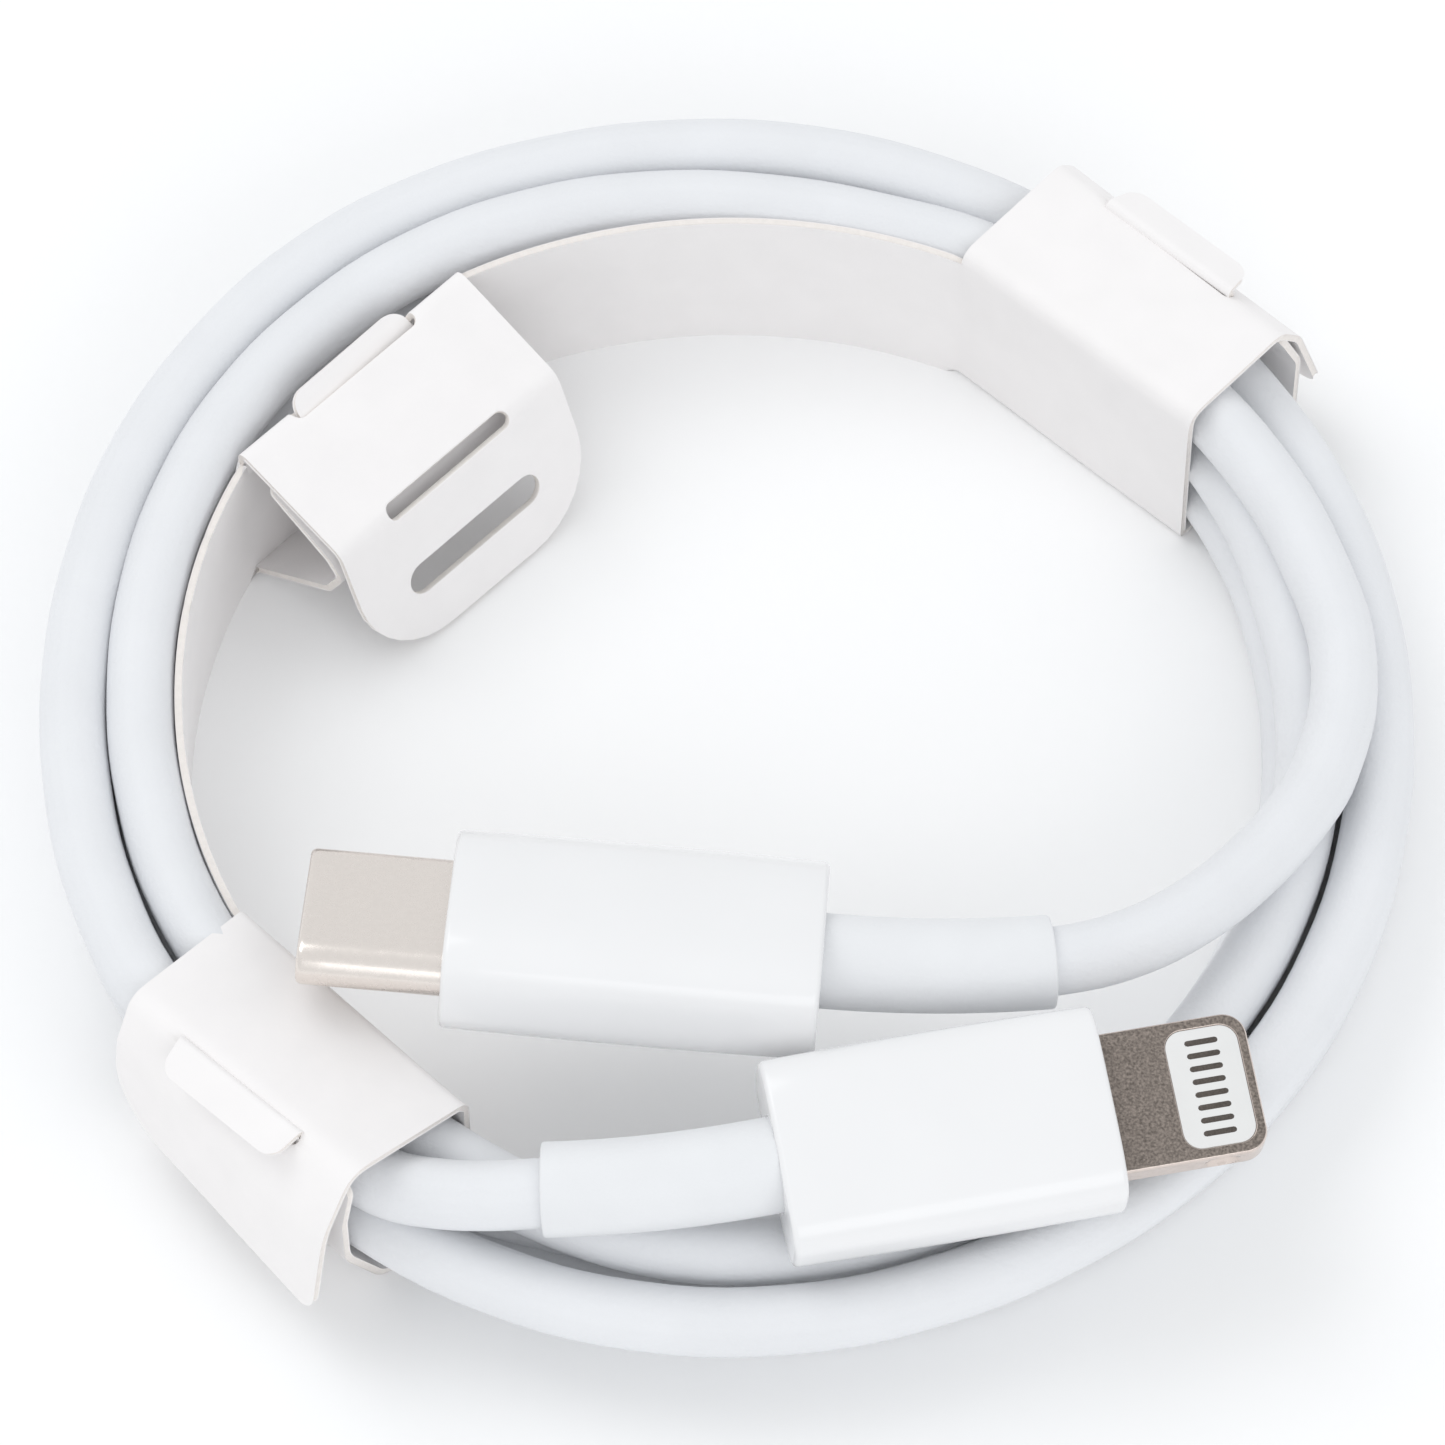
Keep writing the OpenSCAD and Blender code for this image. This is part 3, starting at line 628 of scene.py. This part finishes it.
def wing_outline(one):
    """Lower wing of a station with its tongue, in falling u."""
    u0, u1, tongue, foot = one["u"] - WIDTH / 2, one["u"] + WIDTH / 2, one["v_tongue"], one["v_foot"]
    half, r, s = 3.7, 0.9, 0.5
    right = [(u1, STRAP_FOOT)] + arc(u1 - s, tongue + s, s, 0, -90, 5) + [(one["u"] + half + 0.35, tongue)]
    right += arc(one["u"] + half - r, foot + r, r, 0, -90)
    left = arc(one["u"] - half + r, foot + r, r, -90, -180) + [(one["u"] - half - 0.35, tongue)]
    left += arc(u0 + s, tongue + s, s, -90, -180, 5) + [(u0, STRAP_FOOT)]
    return right + left


def flat_card():
    """The whole flat card with its rims slightly rounded, as a bmesh in (u, v, w)."""
    c, a, b = STATIONS["c"], STATIONS["a"], STATIONS["b"]
    edge = flap_outline(c, 0.9, 3.4, after=(8.6, 0)) + flap_outline(a, 4.4, 4.4, (9.2, 0.3), (9.4, 0.45))
    edge += flap_outline(b, 3.0, 1.0, before=(9.35, 0))
    edge += wing_outline(b) + wing_outline(a) + wing_outline(c)
    holes = [pill(a["u"], a["v_in"] + 0.05, 8.0, 0.9), pill(a["u"], a["v_out"], 8.0, 0.85),
             pill(a["u"], a["v_out"] + 4.5, 8.6, 1.7),
             pill(b["u"], b["v_out"] + 0.2, 7.9, 0.6), pill(c["u"], c["v_out"] + 0.24, 7.9, 0.55)]
    data = bpy.data.curves.new("flat_card", "CURVE")
    data.dimensions = "2D"
    data.fill_mode = "BOTH"
    rim = 0.07
    data.extrude = CARD_T / 2 - rim
    data.bevel_depth = rim
    data.bevel_resolution = 1
    data.offset = -rim
    for loop in [edge] + holes:
        clean = [p for i, p in enumerate(loop) if hypot(p[0] - loop[i - 1][0], p[1] - loop[i - 1][1]) > 1e-4]
        spline = data.splines.new("POLY")
        spline.points.add(len(clean) - 1)
        for spot, p in zip(spline.points, clean):
            spot.co = (p[0], p[1], 0, 1)
        spline.use_cyclic_u = True
    flat = bpy.data.objects.new("flat_card", data)
    scene.collection.objects.link(flat)
    bpy.context.view_layer.update()
    mesh = bpy.data.meshes.new_from_object(flat.evaluated_get(bpy.context.evaluated_depsgraph_get()))
    bpy.data.objects.remove(flat)
    bpy.data.curves.remove(data)
    card = bmesh.new()
    card.from_mesh(mesh)
    bpy.data.meshes.remove(mesh)
    bmesh.ops.remove_doubles(card, verts=card.verts, dist=1e-4)
    return card


def cut(card, place, normal):
    bmesh.ops.bisect_plane(card, geom=card.verts[:] + card.edges[:] + card.faces[:], dist=1e-5,
                           plane_co=place, plane_no=normal)


def card_pieces():
    """Cuts the flat card where it bends, splits it at the hinged parts and folds it."""
    card = flat_card()
    us = {round(at, 3) for at in PLAN.at}
    for one in STATIONS.values():
        for k in (-6, -4, -2, 0, 2, 4, 6):
            us.add(round(one["u"] + k, 3))
    vs = {SPLIT_Z, FOOT_Z, 2.5, 4.2, 6, 7.4}
    for one in STATIONS.values():
        vs |= {round(SPLIT_Z + s, 3) for s in one["top_line"].at[:-1]}
        vs |= {round(SPLIT_Z + 0.6 * k, 3) for k in range(1, 27)}
        vs |= {round(FOOT_Z - s, 3) for s in one["low_line"].at[:-1]}
    seams = {key: (one["v_in"] + one["v_out"]) / 2 for key, one in STATIONS.items()}
    vs |= set(seams.values())
    for places, axis in ((us, 0), (vs, 1)):
        done = -100
        for place in sorted(places):
            if place - done > 0.06 or place in seams.values():
                normal = (1 - axis, axis, 0)
                cut(card, tuple(place * n for n in normal), normal)
                done = place
    card.normal_update()
    slanted = [e for e in card.edges if len(e.link_faces) == 2
               and all(abs(f.normal.z) > 0.99 for f in e.link_faces)
               and min(abs(e.verts[0].co[k] - e.verts[1].co[k]) for k in (0, 1)) > 1e-4]
    bmesh.ops.dissolve_edges(card, edges=slanted, use_verts=True, use_face_split=False)
    bmesh.ops.remove_doubles(card, verts=card.verts, dist=0.006)
    bmesh.ops.dissolve_degenerate(card, edges=card.edges, dist=0.002)
    card.verts.index_update()
    groups = {"card_strap": [], "card_a_flap": [], "card_a_tab": [], "card_b_tab": [], "card_c_tab": []}
    for face in card.faces:
        centre = face.calc_center_median()
        home = "card_strap"
        for key, one in STATIONS.items():
            if abs(centre.x - one["u"]) < WIDTH / 2 + 0.1:
                if centre.y > seams[key]:
                    home = f"card_{key}_tab"
                elif key == "a" and centre.y > SPLIT_Z:
                    home = "card_a_flap"
        groups[home].append(face)
    pieces = {}
    for name, faces in groups.items():
        index, vertices, made, rims = {}, [], [], []
        for face in faces:
            face.normal_update()
            rims.append(abs(face.normal.z) < 0.5)
            loop = []
            for v in face.verts:
                if v.index not in index:
                    index[v.index] = len(vertices)
                    wave = 0.05 * noise.noise(Vector((v.co.x * 0.13, v.co.y * 0.16, 3)))
                    vertices.append(on_card(v.co.x, v.co.y, v.co.z + wave))
                loop.append(index[v.index])
            made.append(tuple(loop))
        piece = mesh_piece(name, vertices, made, 42)
        for polygon, rim in zip(piece.data.polygons, rims):
            polygon.material_index = int(rim)
        pieces[name] = piece
    card.free()
    return pieces


# ---- materials ----
def material(name, colour, roughness, metallic=0.0, grain=0.0, grain_size=0.3, tint=0.0, tint_size=6.0,
             rough_change=0.0, coat=0.0, specular=0.5):
    """Principled material; grain is the height of its bumps, and sizes are in millimetres."""
    m = bpy.data.materials.new(name)
    m.use_nodes = True
    tree = m.node_tree
    shader = tree.nodes["Principled BSDF"]
    shader.inputs["Base Color"].default_value = (*colour, 1)
    shader.inputs["Roughness"].default_value = roughness
    shader.inputs["Metallic"].default_value = metallic
    shader.inputs["Coat Weight"].default_value = coat
    shader.inputs["Coat Roughness"].default_value = 0.12
    shader.inputs["Specular IOR Level"].default_value = specular
    where = tree.nodes.new("ShaderNodeTexCoord")

    def noise_node(size):
        node = tree.nodes.new("ShaderNodeTexNoise")
        node.inputs["Scale"].default_value = 1 / (size * MM)
        node.inputs["Detail"].default_value = 3
        tree.links.new(where.outputs["Object"], node.inputs["Vector"])
        return node

    if tint:
        spots = noise_node(tint_size)
        ramp = tree.nodes.new("ShaderNodeMapRange")
        ramp.inputs["From Min"].default_value = 0.3
        ramp.inputs["From Max"].default_value = 0.7
        mix = tree.nodes.new("ShaderNodeMix")
        mix.data_type = "RGBA"
        mix.inputs["A"].default_value = (*[c * (1 - tint) for c in colour], 1)
        mix.inputs["B"].default_value = (*[min(c * (1 + tint), 1) for c in colour], 1)
        tree.links.new(spots.outputs["Fac"], ramp.inputs["Value"])
        tree.links.new(ramp.outputs["Result"], mix.inputs["Factor"])
        tree.links.new(mix.outputs["Result"], shader.inputs["Base Color"])
    if rough_change:
        spots = noise_node(grain_size * 3)
        ramp = tree.nodes.new("ShaderNodeMapRange")
        ramp.inputs["To Min"].default_value = roughness - rough_change
        ramp.inputs["To Max"].default_value = roughness + rough_change
        tree.links.new(spots.outputs["Fac"], ramp.inputs["Value"])
        tree.links.new(ramp.outputs["Result"], shader.inputs["Roughness"])
    if grain:
        spots = noise_node(grain_size)
        bump = tree.nodes.new("ShaderNodeBump")
        bump.inputs["Strength"].default_value = 1
        bump.inputs["Distance"].default_value = grain * MM
        tree.links.new(spots.outputs["Fac"], bump.inputs["Height"])
        tree.links.new(bump.outputs["Normal"], shader.inputs["Normal"])
    return m


CABLE_WHITE = material("cable_white", (0.80, 0.81, 0.83), 0.55, grain=0.03, grain_size=0.25, tint=0.015,
                       tint_size=4, rough_change=0.06, specular=0.35)
RELIEF_WHITE = material("relief_white", (0.81, 0.82, 0.835), 0.5, grain=0.012, grain_size=0.2, tint=0.012,
                        tint_size=3, specular=0.35)
BOOT_WHITE = material("boot_white", (0.86, 0.86, 0.865), 0.24, grain=0.004, grain_size=0.8, tint=0.008,
                      tint_size=5, rough_change=0.05, coat=0.35)
NICKEL = material("nickel", (0.84, 0.78, 0.73), 0.26, metallic=1, grain=0.002, grain_size=0.12, tint=0.015,
                  tint_size=0.3, rough_change=0.08)
DARK_STEEL = material("dark_steel", (0.25, 0.215, 0.19), 0.5, metallic=1, grain=0.025, grain_size=0.09,
                      tint=0.42, tint_size=0.12, rough_change=0.1)
BRIGHT_STEEL = material("bright_steel", (0.72, 0.63, 0.58), 0.24, metallic=1, grain=0.002, grain_size=0.1,
                        tint=0.04, tint_size=0.4, rough_change=0.05)
CARD = material("card_white", (0.905, 0.885, 0.88), 0.6, grain=0.004, grain_size=0.16, tint=0.012,
                tint_size=2.5, rough_change=0.05, specular=0.3)
CARD_EDGE = material("card_edge", (0.84, 0.80, 0.765), 0.8, grain=0.015, grain_size=0.08, tint=0.03,
                     tint_size=0.3, specular=0.2)
INSERT_WHITE = material("insert_white", (0.78, 0.78, 0.77), 0.35, grain=0.003, grain_size=0.2, tint=0.01,
                        tint_size=1)
CONTACT_DARK = material("contact_dark", (0.10, 0.085, 0.075), 0.45, metallic=0.6, grain=0.01,
                        grain_size=0.07, tint=0.2, tint_size=0.1)
SLOT_MATERIALS = {
    "cable": CABLE_WHITE, "relief": RELIEF_WHITE, "boot": BOOT_WHITE, "nickel": NICKEL,
    "dark_steel": DARK_STEEL,
    "card": CARD, "insert": INSERT_WHITE, "contact_dark": CONTACT_DARK,
    "insulator": material("insulator_black", (0.03, 0.03, 0.032), 0.5, grain=0.01, grain_size=0.15,
                          tint=0.1, tint_size=0.6),
    "contact_metal": material("contact_gold", (0.85, 0.62, 0.30), 0.25, metallic=1, grain=0.002,
                              grain_size=0.1, tint=0.06, tint_size=0.3, rough_change=0.05),
    "board": material("board_green", (0.02, 0.12, 0.06), 0.4, grain=0.006, grain_size=0.3, tint=0.12,
                      tint_size=0.7),
    "chip": material("chip_black", (0.025, 0.025, 0.028), 0.55, grain=0.006, grain_size=0.1, tint=0.15,
                     tint_size=0.3),
    "can": material("can_steel", (0.62, 0.62, 0.63), 0.35, metallic=1, grain=0.004, grain_size=0.2,
                    tint=0.05, tint_size=0.8, rough_change=0.06),
    "mould": material("mould_white", (0.70, 0.70, 0.68), 0.5, grain=0.006, grain_size=0.3, tint=0.03,
                      tint_size=1),
    "wire": material("wire_red", (0.45, 0.04, 0.03), 0.4, grain=0.004, grain_size=0.2, tint=0.08,
                     tint_size=0.8),
}


def finish_piece(piece, slot, body, *nodes, materials=None):
    for m in materials or [SLOT_MATERIALS[slot]]:
        piece.data.materials.append(m)
    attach(piece, body)
    if nodes:
        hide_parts(*nodes)
    return piece


# ---- the object ----
route = cable_route()
cord = curve_piece("cable", route, CABLE_D)
finish_piece(cord, "cable", "root", "cable_coil", "charger_tail", "phone_tail")

charger_boot = boot("charger_boot", CHARGER, SHELL_OUT, CHARGER_BOOT, 3.3,
                    rounded_outline(SHELL_W + 0.08, SHELL_H + 0.08, SHELL_H / 2 + 0.03), RELIEF_D + 0.02)
phone_boot = boot("phone_boot", PHONE, TAB_OUT, PHONE_BOOT, 3.6,
                  rounded_outline(TAB_W + 0.08, TAB_H + 0.08, 0.16), RELIEF_D + 0.02)
finish_piece(charger_boot, "boot", "root", "charger_plug_boot")
finish_piece(phone_boot, "boot", "root", "phone_plug_boot")
charger_relief = relief("charger_relief", placement(CHARGER_TIP, 0, 2.4, -4.4), CHARGER_REAR, 1)
phone_relief = relief("phone_relief", placement(PHONE_TIP, 0, 0, 190.9), PHONE_REAR, -1, 3)
finish_piece(charger_relief, "relief", "root", "charger_plug_strain_relief")
finish_piece(phone_relief, "relief", "root", "phone_plug_strain_relief")
finish_piece(shell("charger_shell"), "nickel", "root", "charger_plug_shell")
tab = tab_metal("phone_tab")
tab_axis = PHONE.to_3x3() @ Vector((0, 0, 1))
for polygon in tab.data.polygons:
    polygon.material_index = 0 if abs(polygon.normal.dot(tab_axis)) > 0.93 else 1
finish_piece(tab, "dark_steel", "root", "phone_plug_frame", materials=[DARK_STEEL, BRIGHT_STEEL])
phone_insert = finish_piece(insert("phone_insert"), "insert", "root", "phone_plug_insert")
phone_contacts = finish_piece(contacts("phone_contacts"), "contact_dark", "root", "phone_plug_contacts")

cards = card_pieces()
card_materials = [CARD, CARD_EDGE]
finish_piece(cards["card_strap"], "card", "root", "holder_strap", "wrap_a_lower_wing", "wrap_b_lower_wing",
             "wrap_b_top_panel", "wrap_c_lower_wing", "wrap_c_top_panel", materials=card_materials)


def bend_card(name, key, body_a, body_b, d0, d1, *nodes):
    """A card piece given the card's materials and baked where it lies, with the CAD parts it stands for
    hidden; d0 and d1, the crease's distances from the coil's axis, are not used.
    """
    piece = cards[name]
    for m in card_materials:
        piece.data.materials.append(m)
    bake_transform(piece)
    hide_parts(*nodes)


bend_card("card_a_flap", "a", "root", "flap_a", 24.9, 24.2, "wrap_a_top_flap")
bend_card("card_a_tab", "a", "flap_a", "tab_a", 18.6, 17.8, "wrap_a_end_tab")
bend_card("card_b_tab", "b", "root", "tab_b", 31.3, 32.3, "wrap_b_end_tab")
bend_card("card_c_tab", "c", "root", "tab_c", 31.4, 32.6, "wrap_c_end_tab")

slots = {s["node"]: s["material_slot"] for s in frame["record"]["subparts"]}
for name, node in frame["nodes"].items():
    if not node.hide_render:
        node.data.materials.clear()
        node.data.materials.append(SLOT_MATERIALS[slots[name]])

# ---- studio ----
floor_mesh = bpy.data.meshes.new("floor")
floor_mesh.from_pydata([(-2, -2, 0), (2, -2, 0), (2, 2, 0), (-2, 2, 0)], [], [(0, 1, 2, 3)])
floor = bpy.data.objects.new("floor", floor_mesh)
scene.collection.objects.link(floor)
floor.data.materials.append(material("floor_white", (0.975, 0.975, 0.975), 0.9, specular=0.0, tint=0.004,
                                     tint_size=60))

world = bpy.data.worlds.new("studio")
world.use_nodes = True
world.node_tree.nodes["Background"].inputs["Color"].default_value = (0.97, 0.985, 1.0, 1)
world.node_tree.nodes["Background"].inputs["Strength"].default_value = 0.86
scene.world = world


def softbox(name, place, target, size, watts, colour=(1, 1, 1)):
    data = bpy.data.lights.new(name, "AREA")
    data.shape = "RECTANGLE"
    data.size, data.size_y = size
    data.energy = watts
    data.color = colour
    lamp = bpy.data.objects.new(name, data)
    lamp.location = place
    lamp.rotation_euler = (Vector(target) - Vector(place)).to_track_quat("-Z", "Y").to_euler()
    scene.collection.objects.link(lamp)


softbox("key", (-0.45, 0.35, 0.75), (0, 0, 0), (0.6, 0.6), 1.7)
softbox("front", (0.25, -0.6, 0.45), (0, 0, 0), (0.7, 0.4), 1.0, (0.98, 0.985, 1))

scene.view_settings.view_transform = "Standard"
scene.view_settings.look = "None"
